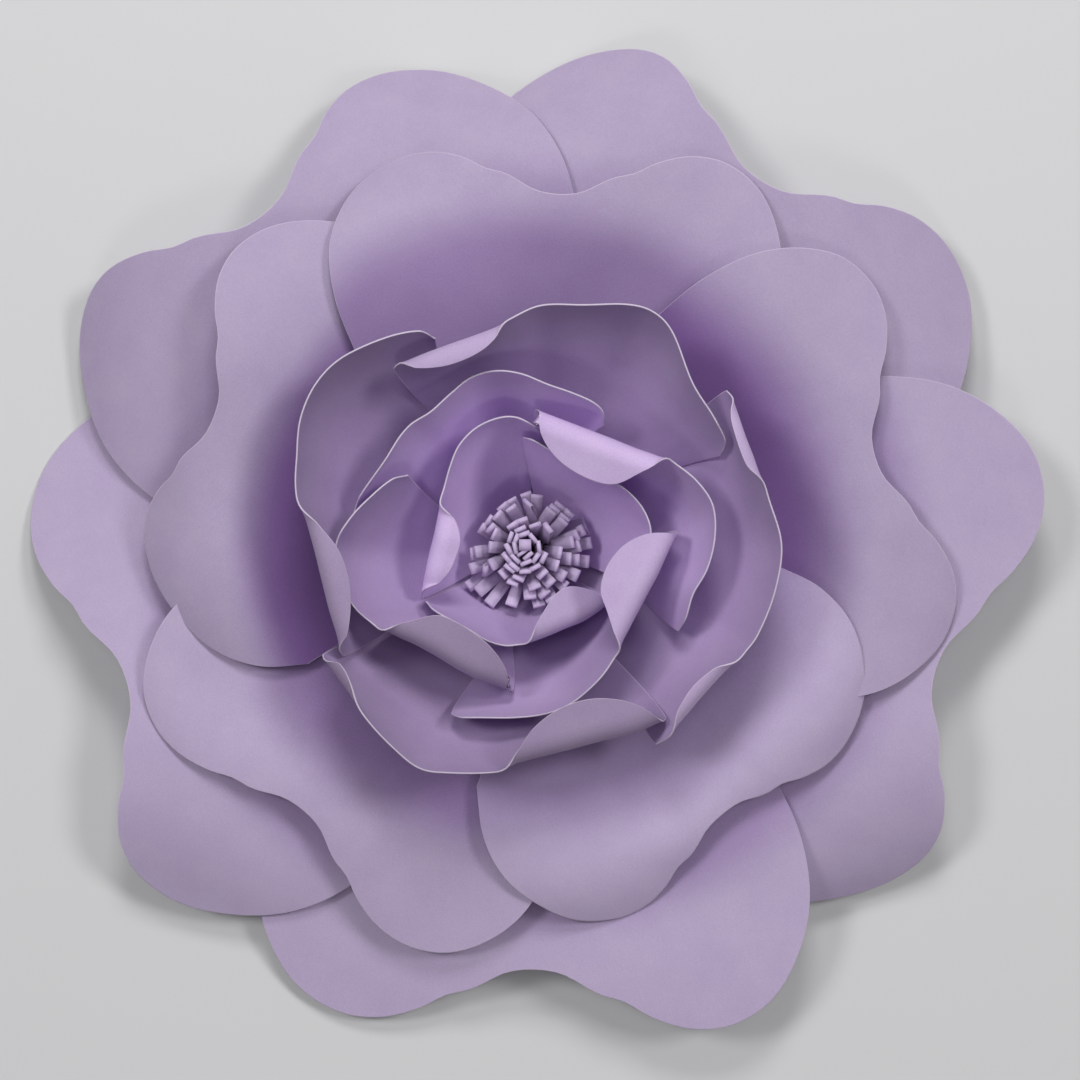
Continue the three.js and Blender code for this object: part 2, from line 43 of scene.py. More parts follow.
# what every sheet of the flower shares, in millimetres
sheet = {
    "thickness": 0.8,          # card stock, mm
    "restGap": 2.6,            # air where one petal lies over another
    "groundClearance": 1.5,    # lobes curl down no further than this
    "footHeight": 2.0,         # the glued feet stand on the disc
    "edgeBand": 0.45,          # width of the pale line along a cut edge
    "softWave": 0.014,         # how closely the slow unevenness follows on itself, per mm
    "rimWave": 0.04,           # and the quicker one along a rim
}

# half of the flat petal, from the middle of its rim round one lobe to the straight side
petalTemplate = {
    "halfOutline": [
        (0, 185), (14, 187), (27, 194), (34, 197.5), (46, 201), (60, 209), (80, 215),
        (101, 213), (121, 200), (134, 176), (139, 148), (134, 116), (120, 84),
    ],
    "footHalfWidth": 24,
    "footArc": 0.9,            # the foot is a shallow arc, this half angle in radians
    "footDepth": 3,
    "wrapLimit": 0.995,        # the flattest cone a petal is wrapped round
    "lobeRollWidth": 90,       # a lobe curls back evenly over this width
    "profileStart": 20,        # the rise eases from here up the middle
    "profileEnd": 190,         # to here
    "crownSpread": 0.42,       # a petal bows up between its lobes over this share of the rim
    "crownStart": 0.3,         # from this share of its length
    "columns": 96,
    "rows": 60,
    "middleLength": 190,       # mm, foot to rim
    "wave": (1.0, 0.25),       # how far the two unevennesses move it, mm
}

# every ring is listed in the order it is glued: a later petal lies over an earlier one
# az: direction a petal points, degrees clockwise from +Y; rise: slope at its foot and its rim
# wrap: how closely it follows a cone round the flower's axis
# left, right: a lobe's curl as (angle of its fold line, distance of the line, turn)
# tone: painted light, the paper of petals on the side away from the main lamp made brighter; deep: painted
# shade given as (radius where it starts to darken, radius where it is darkest, how dark), down beside the cup
# and, on the outer ring, under the second ring's edges
outerRing = {
    "foot": 33, "tilt": 12, "slot": "outer_ring", "deep": (208, 176, 0.6), "crown": 0,
    "petals": [
        {"name": "outer_petal_1", "deep": (206, 176, 0.3),
         "az": 32, "size": 1.03, "rise": (17, 11), "wrap": 1.0,
         "left": (58, 102, -56), "right": (42, 122, -42)},
        {"name": "outer_petal_2", "tone": 1.08,
         "az": 107, "size": 1.0, "rise": (18, 6), "wrap": 0.98,
         "left": (42, 104, -12), "right": (58, 114, -54)},
        {"name": "outer_petal_3", "tone": 1.17,
         "az": 180, "size": 1.01, "rise": (17, 5), "wrap": 1.01,
         "left": (54, 107, -16), "right": (38, 78, -22)},
        {"name": "outer_petal_4", "tone": 1.13,
         "az": 252, "size": 1.02, "rise": (17, 10), "wrap": 1.0,
         "left": (58, 104, -42), "right": (52, 78, -36)},
        {"name": "outer_petal_5", "deep": (206, 176, 0.35),
         "az": 321, "size": 1.02, "rise": (17, 9), "wrap": 1.0,
         "left": (58, 110, -50), "right": (45, 117, -50)},
    ],
}
secondRing = {
    "foot": 31, "tilt": 24, "slot": "second_ring", "deep": (160, 122, 1.0), "crown": 11,
    "petals": [
        {"name": "second_petal_1", "tone": 1.13, "deep": (170, 130, 0.8),
         "az": 221, "size": 0.83, "rise": (29, 3), "wrap": 0.99,
         "left": (38, 96, -24), "right": (38, 104, -20)},
        {"name": "second_petal_2", "deep": (158, 126, 1.15),
         "az": 292, "size": 0.83, "rise": (31, 16), "wrap": 1.02,
         "left": (45, 88, -50), "right": (58, 114, -40)},
        {"name": "second_petal_3", "deep": (184, 150, 0.7),
         "az": 4, "size": 0.83, "rise": (26, 2), "wrap": 0.95,
         "left": (38, 146, -50), "right": (58, 136, -28)},
        {"name": "second_petal_4", "deep": (176, 128, 1.15),
         "az": 75, "size": 0.83, "rise": (26, 2), "wrap": 0.95,
         "left": (45, 148, -24), "right": (55, 130, -34)},
        {"name": "second_petal_5", "tone": 1.20, "deep": (158, 122, 0.45),
         "az": 144, "size": 0.8, "rise": (31, 16), "wrap": 1.0,
         "left": (38, 66, -42), "right": (38, 90, -44)},
    ],
}

# the inner rings stand up as cups; a rim row is (direction, radius, height, rolled lip)
# halfFoot: half the angle a foot spans; shift: how far its two ends stand outside the ring's
# tone: painted light and shade on a petal's inside, the inner rings lit brighter down in the cup and single
# walls made brighter or darker; lipLightAndShade: painted light and shade on the back that a rolled lip shows
thirdRing = {
    "foot": 25, "halfFoot": 41, "rise": (47, 72), "rollRadius": 8, "slot": "third_ring", "tone": 1.0,
    "petals": [
        {"name": "third_petal_1", "tone": 0.96,
         "az": 99, "shift": (1.2, 1.2), "rim": [
            (51, 122, 90, 0), (56, 119, 97, 5), (62, 116, 102, 6), (69, 115, 103, 6), (77, 115, 103, 1),
            (89, 119, 103, 0), (100, 118, 102, 0), (111, 116, 101, 0), (117, 113, 101, 1),
            (124, 110, 100, 6), (131, 109, 99, 8), (138, 110, 97, 6), (144, 112, 93, 2), (148, 114, 87, 0)]},
        {"name": "third_petal_2", "tone": 0.80, "lipLightAndShade": 0.58,
         "az": 191, "shift": (-1.2, 1.2), "rim": [
            (142, 106, 90, 0), (146, 104, 94, 10), (152, 102, 97, 19), (161, 99, 99, 23), (170, 99, 100, 22),
            (178, 101, 101, 16), (184, 104, 101, 6), (191, 110, 101, 0), (200, 115, 101, 0),
            (207, 119, 101, 0), (215, 117, 100, 0), (225, 114, 99, 2), (233, 113, 96, 5),
            (239, 114, 92, 6), (243, 115, 87, 1)]},
        {"name": "third_petal_3", "tone": 0.81, "lipLightAndShade": 0.76,
         "az": 286, "shift": (-1.2, 1.2), "rim": [
            (240, 107, 87, 0), (246, 104, 92, 7), (253, 103, 95, 12), (261, 103, 98, 14), (269, 105, 100, 12),
            (277, 110, 101, 5), (284, 117, 102, 0), (291, 121, 102, 0), (299, 127, 103, 0),
            (307, 130, 103, 0), (315, 129, 102, 0), (325, 123, 100, 0), (332, 118, 96, 0),
            (335, 113, 88, 0)]},
        {"name": "third_petal_4", "tone": 0.92, "lipLightAndShade": 0.95,
         "az": 12, "shift": (-1.2, -1.2), "rim": [
            (322, 111, 92, 0), (329, 108, 97, 8), (337, 106, 100, 11), (346, 106, 102, 9), (354, 109, 103, 2),
            (2, 116, 103, 0), (12, 119, 102, 0), (21, 125, 102, 0), (27, 127, 101, 0), (33, 123, 100, 0),
            (44, 110, 99, 0), (54, 107, 97, 0), (61, 106, 93, 0), (64, 102, 85, 0)]},
    ],
}
fourthRing = {
    "foot": 21, "halfFoot": 40, "rise": (52, 76), "rollRadius": 7, "slot": "fourth_ring", "tone": 1.3,
    "petals": [
        {"name": "fourth_petal_1", "tone": 1.4,
         "az": 333, "shift": (1.2, 1.2), "rim": [
            (281, 90, 76, 0), (290, 86, 82, 2), (302, 83, 87, 2), (314, 84, 90, 0), (323, 82, 91, 0),
            (332, 84, 92, 0), (340, 87, 92, 0), (348, 87, 92, 0), (356, 84, 91, 0), (5, 79, 90, 0),
            (14, 77, 88, 0), (22, 76, 85, 0), (27, 74, 80, 0), (30, 69, 73, 0)]},
        {"name": "fourth_petal_2", "lipLightAndShade": 1.20,
         "az": 62, "shift": (-1.2, 1.2), "rim": [
            (1, 68, 74, 0), (5, 66, 79, 8), (12, 64, 83, 16), (22, 63, 87, 21), (36, 65, 90, 23),
            (46, 69, 91, 20), (53, 74, 92, 8), (59, 79, 92, 0), (68, 85, 92, 0), (77, 89, 92, 0),
            (87, 88, 91, 0), (97, 85, 90, 0), (106, 81, 88, 0), (114, 82, 84, 0), (120, 83, 76, 0)]},
        {"name": "fourth_petal_3", "tone": 1.04,
         "az": 148, "shift": (-1.2, 1.2), "rim": [
            (84, 72, 76, 0), (87, 69, 79, 10), (94, 65, 84, 20), (103, 62, 87, 24), (113, 60, 89, 24),
            (122, 60, 90, 21), (129, 61, 91, 13), (136, 63, 92, 5), (143, 66, 92, 0), (151, 70, 92, 0),
            (159, 74, 91, 0), (167, 78, 90, 0), (176, 81, 89, 0), (186, 83, 88, 0), (196, 86, 86, 0),
            (203, 90, 82, 0), (206, 92, 76, 0)]},
        {"name": "fourth_petal_4", "tone": 0.98, "lipLightAndShade": 0.56,
         "az": 243, "shift": (-1.2, -1.2), "rim": [
            (188, 72, 73, 0), (191, 71, 77, 6), (197, 70, 81, 13), (204, 70, 85, 18), (213, 70, 88, 20),
            (222, 71, 90, 20), (230, 74, 91, 18), (237, 79, 92, 8), (244, 85, 92, 0), (252, 91, 92, 0),
            (262, 95, 92, 0), (271, 95, 91, 0), (279, 89, 91, 0), (287, 82, 89, 0), (295, 76, 86, 0),
            (300, 71, 79, 0)]},
    ],
}
innerRing = {
    "foot": 17.5, "halfFoot": 53, "rise": (60, 80), "rollRadius": 6, "slot": "inner_ring", "tone": 1.5,
    "petals": [
        {"name": "inner_petal_1", "tone": 1.02, "lipLightAndShade": 0.82,
         "az": 183, "shift": (1, 1), "rim": [
            (124, 47, 58, 0), (129, 46, 63, 8), (136, 45, 67, 15), (146, 44, 71, 18), (157, 43, 73, 16),
            (169, 44, 74, 10), (179, 46, 75, 4), (188, 48, 75, 0), (196, 50, 75, 0), (206, 51, 74, 0),
            (216, 51, 73, 0), (226, 53, 71, 0), (236, 57, 68, 0), (243, 60, 62, 0)]},
        {"name": "inner_petal_2", "lipLightAndShade": 1.34,
         "az": 303, "shift": (-1, 1), "rim": [
            (245, 61, 58, 0), (250, 58, 62, 4), (258, 54, 67, 10), (267, 51, 70, 12), (277, 49, 73, 12),
            (287, 49, 74, 8), (295, 50, 75, 2), (304, 52, 75, 0), (314, 56, 76, 0), (324, 61, 77, 0),
            (334, 64, 77, 0), (344, 65, 77, 0), (352, 64, 76, 0), (359, 60, 73, 0), (5, 56, 66, 0)]},
        {"name": "inner_petal_3",
         "az": 56, "shift": (-1, -1), "rim": [
            (355, 55, 66, 0), (3, 51, 71, 0), (14, 47, 74, 0), (26, 45, 75, 0), (38, 46, 76, 0),
            (50, 50, 76, 0), (61, 54, 77, 0), (72, 57, 77, 0), (82, 58, 77, 0), (91, 56, 76, 0),
            (100, 53, 74, 0), (107, 51, 70, 0), (111, 49, 63, 0)]},
    ],
}
cupShape = {
    "lipMinimum": 4,           # sheet above the fold line where nothing is rolled
    "lipFull": 6,              # a lip this wide is rolled as tightly as any
    "lipRound": 2,             # extra sheet that goes into the roll itself
    "leastBend": 0.04,         # share of the full bend left where nothing is rolled
    "lipSlope": 203,           # degrees, where a rolled lip straightens out
    "foldShare": 0.76,         # share of the rows below the fold line
    "lipFade": 12,             # how sharply the rolled lip's colour begins past the fold
    "endShare": 0.05,          # a petal's two corners taper over this share of its rim
    "rimLook": 0.07,           # share of the rim looked at to either side for its direction
    "inwardLean": 0.35,        # how much a lip turns to the flower's middle
    "reach": 0.35,             # fullness of the curve from foot to rim
    "columns": 110,
    "rows": 64,
    "rimSteps": 6,             # points between two rows of a rim
    "lengthPerFoot": 5,        # a cup petal is about this many times its ring's foot radius wide
    "wave": (0.6, 0.2),
}


# lines and bending: u runs across a petal from -1 to 1, v from its foot, 0, to its rim, 1
def eased01(t):
    t = np.clip(t, 0, 1)
    return t * t * (3 - 2 * t)


def smoothLine(points, steps):
    p = np.array(points, float)
    p = np.vstack([2 * p[0] - p[1], p, 2 * p[-1] - p[-2]])
    t = (np.arange(steps) / steps)[:, None]
    parts = []
    for i in range(1, len(p) - 2):
        a, b, c, d = p[i - 1], p[i], p[i + 1], p[i + 2]
        parts.append(0.5 * (2 * b + (c - a) * t + (2 * a - 5 * b + 4 * c - d) * t ** 2
                            + (3 * b - a - 3 * c + d) * t ** 3))
    return np.vstack(parts + [p[-2:-1]])


def pointsAlong(line, share, dims):
    steps = np.linalg.norm(np.diff(line[:, :dims], axis=0), axis=1)
    reach = np.concatenate([[0], np.cumsum(steps)])
    where = np.clip(share, 0, 1) * reach[-1]
    return np.stack([np.interp(where, reach, line[:, k]) for k in range(line.shape[1])], -1)


halfOutline = petalTemplate["halfOutline"]
flatOutline = smoothLine([(-x, y) for x, y in reversed(halfOutline)] + halfOutline[1:], 8)


def curlLobe(p, side, curl, size):
    angle, start, turn = math.radians(curl[0]), curl[1] * size, math.radians(curl[2])
    nx, ny = side * math.sin(angle), math.cos(angle)
    width = petalTemplate["lobeRollWidth"] * size
    radius = width / turn
    s = p[:, 0] * nx + p[:, 1] * ny - start
    a = np.clip(s, 0, width) / radius
    beyond = np.maximum(s - width, 0)
    along = radius * np.sin(a) + beyond * np.cos(a)
    up = radius * (1 - np.cos(a)) + beyond * np.sin(a)
    rolled = s > 0
    out = p.copy()
    out[:, 0] += np.where(rolled, (along - s) * nx, 0)
    out[:, 1] += np.where(rolled, (along - s) * ny, 0)
    out[:, 2] += np.where(rolled, up, 0)
    return out


def wrapRound(p, apex, k):
    rho = np.hypot(p[:, 0], p[:, 1] + apex)
    psi = np.arctan2(p[:, 0], p[:, 1] + apex) / k
    flat = math.sqrt(1 - k * k)
    c, s = np.cos(psi), np.sin(psi)
    return np.stack([
        rho * k * s - p[:, 2] * flat * s,
        rho * (1 - k * k * (1 - c)) + p[:, 2] * k * flat * (1 - c) - apex,
        rho * k * flat * (1 - c) + p[:, 2] * (flat * flat * c + k * k)], -1)


def raiseSheet(p, rise, size):
    a, b = math.radians(rise[0]), math.radians(rise[1])
    y0, y1 = petalTemplate["profileStart"] * size, petalTemplate["profileEnd"] * size
    bend = (b - a) / (y1 - y0)
    slope = a + bend * np.clip(p[:, 1] - y0, 0, y1 - y0)
    low, high = np.minimum(p[:, 1], y0), np.maximum(p[:, 1] - y1, 0)
    r = low * math.cos(a) + (np.sin(slope) - math.sin(a)) / bend + high * math.cos(b)
    z = low * math.sin(a) - (np.cos(slope) - math.cos(a)) / bend + high * math.sin(b)
    return np.stack([p[:, 0], r - p[:, 2] * np.sin(slope), z + p[:, 2] * np.cos(slope)], -1)


def turned(p, az):
    c, s = math.cos(math.radians(az)), math.sin(math.radians(az))
    return np.stack([p[:, 0] * c + p[:, 1] * s, -p[:, 0] * s + p[:, 1] * c, p[:, 2]], -1)


def openPetal(petal, ring, u, v):
    size = petal["size"]
    rim = pointsAlong(flatOutline, (u + 1) / 2, 2)
    arc = petalTemplate["footArc"]
    foot = np.stack([petalTemplate["footHalfWidth"] * np.sin(u * arc) / math.sin(arc),
                     petalTemplate["footDepth"] * (np.cos(u * arc) - math.cos(arc))], -1)
    flat = (foot + (rim - foot) * v[:, None]) * size
    p = np.concatenate([flat, np.zeros((len(u), 1))], 1)
    p = curlLobe(p, -1, petal["left"], size)
    p = curlLobe(p, 1, petal["right"], size)
    lean = math.cos(math.radians(petal["rise"][0]))
    p = wrapRound(p, ring["foot"] / lean, min(petalTemplate["wrapLimit"], lean * petal["wrap"]))
    p = raiseSheet(p, petal["rise"], size)
    start = petalTemplate["crownStart"]
    along = eased01((v - start) / (1 - start))
    bow = ring["crown"] * np.exp(-(u / petalTemplate["crownSpread"]) ** 2) * along
    p[:, 1] += ring["foot"]
    p[:, 2] += sheet["footHeight"] + bow
    return turned(p, petal["az"])


# laying a petal over the ones glued before it, on a polar map of the cone the ring rests on
restMap = {
    "turns": 120,              # cells round the flower
    "steps": 80, "step": 3.5,  # cells outward, and the size of one in mm
    "easing": 16,              # rounds that spread a lift like a resting sheet
    "lastEasing": 5,           # and rounds that smooth it
    "denseColumns": 90, "denseRows": 48,
    "empty": 1e6,              # height of a cell that nothing covers
}


def onCone(p, tilt):
    r = np.hypot(p[:, 0], p[:, 1])
    c, s = math.cos(math.radians(tilt)), math.sin(math.radians(tilt))
    turn = (np.arctan2(p[:, 0], p[:, 1]) / (2 * math.pi) + 1) % 1 * restMap["turns"]
    return turn, (r * c + p[:, 2] * s) / restMap["step"], -r * s + p[:, 2] * c


def mapCell(turn, step):
    i = np.floor(turn + 0.5).astype(int) % restMap["turns"]
    j = np.clip(np.floor(step + 0.5).astype(int), 0, restMap["steps"] - 1)
    return i, j


def widened(m):
    up, down = m.copy(), m.copy()
    up[:, :-1] = m[:, 1:]
    down[:, 1:] = m[:, :-1]
    return np.maximum.reduce([m, np.roll(m, 1, 0), np.roll(m, -1, 0), up, down])


def eased(m, rounds):
    for _ in range(rounds):
        up, down = m.copy(), m.copy()
        up[:, :-1] = m[:, 1:]
        down[:, 1:] = m[:, :-1]
        m = (m * 2 + np.roll(m, 1, 0) + np.roll(m, -1, 0) + up + down) / 6
    return m


def liftMap(under, own, tilt):
    shape = (restMap["turns"], restMap["steps"])
    top = np.full(shape, -restMap["empty"])
    low = np.full(shape, restMap["empty"])
    need = np.zeros(shape)
    if len(under):
        turn, step, height = onCone(under, tilt)
        np.maximum.at(top, mapCell(turn, step), height)
        top = widened(top)
    turn, step, height = onCone(own, tilt)
    cells = mapCell(turn, step)
    np.minimum.at(low, cells, height)
    both = (top > -restMap["empty"]) & (low < restMap["empty"])
    need[both] = np.maximum(0, top[both] + sheet["restGap"] - low[both])
    np.maximum.at(need, cells, (sheet["groundClearance"] - own[:, 2]) / math.cos(math.radians(tilt)))
    lift = eased(widened(widened(widened(need))), restMap["easing"])
    return eased(np.maximum(lift, need), restMap["lastEasing"])


def lifted(p, lift, tilt):
    turn, step, _ = onCone(p, tilt)
    i, j = np.floor(turn).astype(int), np.floor(step).astype(int)
    f, g = turn - i, step - j
    i0, i1 = i % restMap["turns"], (i + 1) % restMap["turns"]
    j0 = np.clip(j, 0, restMap["steps"] - 1)
    j1 = np.clip(j + 1, 0, restMap["steps"] - 1)
    d = ((lift[i0, j0] * (1 - f) + lift[i1, j0] * f) * (1 - g)
         + (lift[i0, j1] * (1 - f) + lift[i1, j1] * f) * g)
    inward = -math.sin(math.radians(tilt)) * d / np.hypot(p[:, 0], p[:, 1])
    return np.stack([p[:, 0] * (1 + inward), p[:, 1] * (1 + inward),
                     p[:, 2] + math.cos(math.radians(tilt)) * d], -1)


# a standing petal, foot to rolled lip
def cupPetal(petal, ring, u, v):
    line, s = petal["line"], (u + 1) / 2
    rim = pointsAlong(line, s, 3)
    before = pointsAlong(line, np.maximum(0, s - cupShape["rimLook"]), 3)
    after = pointsAlong(line, np.minimum(1, s + cupShape["rimLook"]), 3)
    radius = np.hypot(rim[:, 0], rim[:, 1])
    inward = -rim[:, :2] / radius[:, None]
    n = np.stack([before[:, 1] - after[:, 1], after[:, 0] - before[:, 0]], -1)
    n *= np.sign((n * inward).sum(1))[:, None]
    n = n / np.linalg.norm(n, axis=1)[:, None] + inward * cupShape["inwardLean"]
    n /= np.linalg.norm(n, axis=1)[:, None]
    e0, e1 = math.radians(ring["rise"][0]), math.radians(ring["rise"][1])
    fold, lip = cupShape["foldShare"], rim[:, 3]
    amount = np.clip(lip, 0, cupShape["lipFull"]) / cupShape["lipFull"]
    taper = np.clip(np.minimum(s, 1 - s) / cupShape["endShare"], 0.1, 1)
    overFold = cupShape["lipMinimum"] * taper + lip + cupShape["lipRound"] * amount
    length = np.maximum(v - fold, 0) / (1 - fold) * overFold
    bend = np.maximum(eased01(amount), cupShape["leastBend"]) / ring["rollRadius"]
    arc = np.minimum(length, (math.radians(cupShape["lipSlope"]) - e1) / bend)
    e = e1 + arc * bend
    over = (math.sin(e1) - np.sin(e)) / bend - np.cos(e) * (length - arc)
    up = (math.cos(e1) - np.cos(e)) / bend + np.sin(e) * (length - arc)
    lipPoint = np.stack([rim[:, 0] + n[:, 0] * over, rim[:, 1] + n[:, 1] * over, rim[:, 2] + up], -1)

    az = np.radians(petal["az"] + u * ring["halfFoot"])
    footRadius = ring["foot"] + petal["shift"][0] + (petal["shift"][1] - petal["shift"][0]) * s
    outward = np.stack([np.sin(az), np.cos(az), np.zeros(len(az))], -1)
    foot = outward * footRadius[:, None] + np.array([0, 0, sheet["footHeight"]])
    reach = cupShape["reach"] * np.linalg.norm(rim[:, :3] - foot, axis=1)[:, None]
    first = foot + reach * (outward * math.cos(e0) + np.array([0, 0, math.sin(e0)]))
    second = rim[:, :3].copy()
    second[:, :2] += n * reach * math.cos(e1)
    second[:, 2] -= reach[:, 0] * math.sin(e1)
    t = np.minimum(v / fold, 1)[:, None]
    body = (foot * (1 - t) ** 3 + 3 * first * t * (1 - t) ** 2
            + 3 * second * t * t * (1 - t) + rim[:, :3] * t ** 3)
    return np.where((v > fold)[:, None], lipPoint, body)


# what each ring's paper looks like; the cup rings' more saturated purple and the fringe's brighter colour are
# painted light, for light that bounces round inside the cup
paperFinish = {
    "outer_ring": {"body": (0.462, 0.382, 0.552), "shade": (0.436, 0.352, 0.530)},
    "second_ring": {"body": (0.462, 0.382, 0.552), "shade": (0.436, 0.352, 0.530)},
    "third_ring": {"body": (0.500, 0.378, 0.618), "shade": (0.474, 0.350, 0.596)},
    "fourth_ring": {"body": (0.500, 0.378, 0.618), "shade": (0.474, 0.350, 0.596)},
    "inner_ring": {"body": (0.500, 0.378, 0.618), "shade": (0.474, 0.350, 0.596)},
    "fringe": {"body": (0.590, 0.480, 0.690), "shade": (0.560, 0.446, 0.665)},
    "disc": {"body": (0.450, 0.360, 0.550), "shade": (0.425, 0.330, 0.530)},
}
cutEdgeColour = (0.70, 0.61, 0.76)
shadesAndTints = {
    "deepest": (0.53, 0.39, 0.63),   # painted shade, multiplies the paper's colour down beside the cup and under the second ring's edges
    "lip": (1.12, 1.15, 1.09),       # multiplies the colour on a rolled lip, paler and greyer
    # painted shade at a loop's foot and on the whole roll, painted light at a loop's tip
    "loopFootShade": (0.28, 0.21, 0.34),
    "loopTipLight": (1.10, 1.12, 1.08),
}
paperGrain = {
    "roughness": 0.78, "gloss": 0.28,         # dull, with hardly a sheen
    "cloudScale": 42, "cloudDetail": 5,       # soft mottling of the sheet
    "fibreScale": 1400, "fibreDetail": 3,     # fine fibres
    "fibreDark": (0.94, 0.93, 0.95), "fibrePale": (1.04, 1.04, 1.03),
    "bumpStrength": 0.25, "bumpDepth": 0.0002,    # depth in metres
    "edgeRoughness": 0.85, "edgeGloss": 0.2, "edgeScale": 900, "edgeDark": 0.85,
}


def blendShade(share, tintAndShade):
    return 1 + np.asarray(share)[:, None] * (np.array(tintAndShade) - 1)


def paperMaterial(name, look, withLightAndShade):
    mat = bpy.data.materials.new(name)
    mat.use_nodes = True
    nodes, links = mat.node_tree.nodes, mat.node_tree.links
    bsdf = nodes["Principled BSDF"]
    bsdf.inputs["Roughness"].default_value = paperGrain["roughness"]
    bsdf.inputs["Specular IOR Level"].default_value = paperGrain["gloss"]
    place = nodes.new("ShaderNodeTexCoord")
    cloud = nodes.new("ShaderNodeTexNoise")
    cloud.inputs["Scale"].default_value = paperGrain["cloudScale"]
    cloud.inputs["Detail"].default_value = paperGrain["cloudDetail"]
    cloud.inputs["Roughness"].default_value = 0.6
    fibre = nodes.new("ShaderNodeTexNoise")
    fibre.inputs["Scale"].default_value = paperGrain["fibreScale"]
    fibre.inputs["Detail"].default_value = paperGrain["fibreDetail"]
    tone = nodes.new("ShaderNodeValToRGB")
    tone.color_ramp.elements[0].position = 0.32
    tone.color_ramp.elements[0].color = (*look["shade"], 1)
    tone.color_ramp.elements[1].position = 0.68
    tone.color_ramp.elements[1].color = (*look["body"], 1)
    speck = nodes.new("ShaderNodeValToRGB")
    speck.color_ramp.elements[0].position = 0.35
    speck.color_ramp.elements[0].color = (*paperGrain["fibreDark"], 1)
    speck.color_ramp.elements[1].position = 0.65
    speck.color_ramp.elements[1].color = (*paperGrain["fibrePale"], 1)
    mixed = nodes.new("ShaderNodeMix")
    mixed.data_type = "RGBA"
    mixed.blend_type = "MULTIPLY"
    mixed.inputs["Factor"].default_value = 1.0
    paleEdge = nodes.new("ShaderNodeAttribute")
    paleEdge.attribute_name = "cutEdge"
    edged = nodes.new("ShaderNodeMix")
    edged.data_type = "RGBA"
    edged.inputs[7].default_value = (*cutEdgeColour, 1)
    bump = nodes.new("ShaderNodeBump")
    bump.inputs["Strength"].default_value = paperGrain["bumpStrength"]
    bump.inputs["Distance"].default_value = paperGrain["bumpDepth"]
    links.new(place.outputs["Object"], cloud.inputs["Vector"])
    links.new(place.outputs["Object"], fibre.inputs["Vector"])
    links.new(cloud.outputs["Fac"], tone.inputs["Fac"])
    links.new(fibre.outputs["Fac"], speck.inputs["Fac"])
    links.new(tone.outputs["Color"], mixed.inputs[6])
    links.new(speck.outputs["Color"], mixed.inputs[7])
    # a vertex attribute multiplies in the painted light and shade, and the rolled lips' colour
    if withLightAndShade:
        tintAndShade = nodes.new("ShaderNodeAttribute")
        tintAndShade.attribute_name = "tintAndShade"
        shaded = nodes.new("ShaderNodeMix")
        shaded.data_type = "RGBA"
        shaded.blend_type = "MULTIPLY"
        shaded.inputs["Factor"].default_value = 1.0
        links.new(mixed.outputs[2], shaded.inputs[6])
        links.new(tintAndShade.outputs["Color"], shaded.inputs[7])
        links.new(shaded.outputs[2], edged.inputs[6])
    else:
        links.new(mixed.outputs[2], edged.inputs[6])
    links.new(paleEdge.outputs["Fac"], edged.inputs["Factor"])
    links.new(edged.outputs[2], bsdf.inputs["Base Color"])
    links.new(fibre.outputs["Fac"], bump.inputs["Height"])
    links.new(bump.outputs["Normal"], bsdf.inputs["Normal"])
    return mat


def cutEdgeMaterial(name, colour):
    mat = bpy.data.materials.new(name)
    mat.use_nodes = True
    nodes, links = mat.node_tree.nodes, mat.node_tree.links
    bsdf = nodes["Principled BSDF"]
    bsdf.inputs["Roughness"].default_value = paperGrain["edgeRoughness"]
    bsdf.inputs["Specular IOR Level"].default_value = paperGrain["edgeGloss"]
    place = nodes.new("ShaderNodeTexCoord")
    ragged = nodes.new("ShaderNodeTexNoise")
    ragged.inputs["Scale"].default_value = paperGrain["edgeScale"]
    tone = nodes.new("ShaderNodeValToRGB")
    tone.color_ramp.elements[0].color = (*[c * paperGrain["edgeDark"] for c in colour], 1)
    tone.color_ramp.elements[1].color = (*colour, 1)
    links.new(place.outputs["Object"], ragged.inputs["Vector"])
    links.new(ragged.outputs["Fac"], tone.inputs["Fac"])
    links.new(tone.outputs["Color"], bsdf.inputs["Base Color"])
    return mat


papers = {slot: paperMaterial("lilacPaper_" + slot, look, slot != "disc")
          for slot, look in paperFinish.items()}
cutEdge = cutEdgeMaterial("paleCutEdge", cutEdgeColour)


# making a sheet piece: a flat grid is put in place point by point, then given its thickness
def paperPiece(name, bm, slot, node, thickness, evenWalls):
    for face in bm.faces:
        face.smooth = True
    mesh = bpy.data.meshes.new(name)
    bm.to_mesh(mesh)
    bm.free()
    obj = bpy.data.objects.new(name, mesh)
    bpy.context.scene.collection.objects.link(obj)
    mesh.materials.append(papers[slot])
    mesh.materials.append(cutEdge)
    wall = obj.modifiers.new("paperThickness", "SOLIDIFY")
    wall.thickness = thickness * mm
    wall.offset = 0
    wall.use_even_offset = evenWalls
    wall.material_offset_rim = 1
    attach(obj, "root")
    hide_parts(node)


def edgeRows(count, band, length):
    inner = np.linspace(band / length, 1 - band / length, count - 1)
    return np.concatenate([[0], inner, [1]])


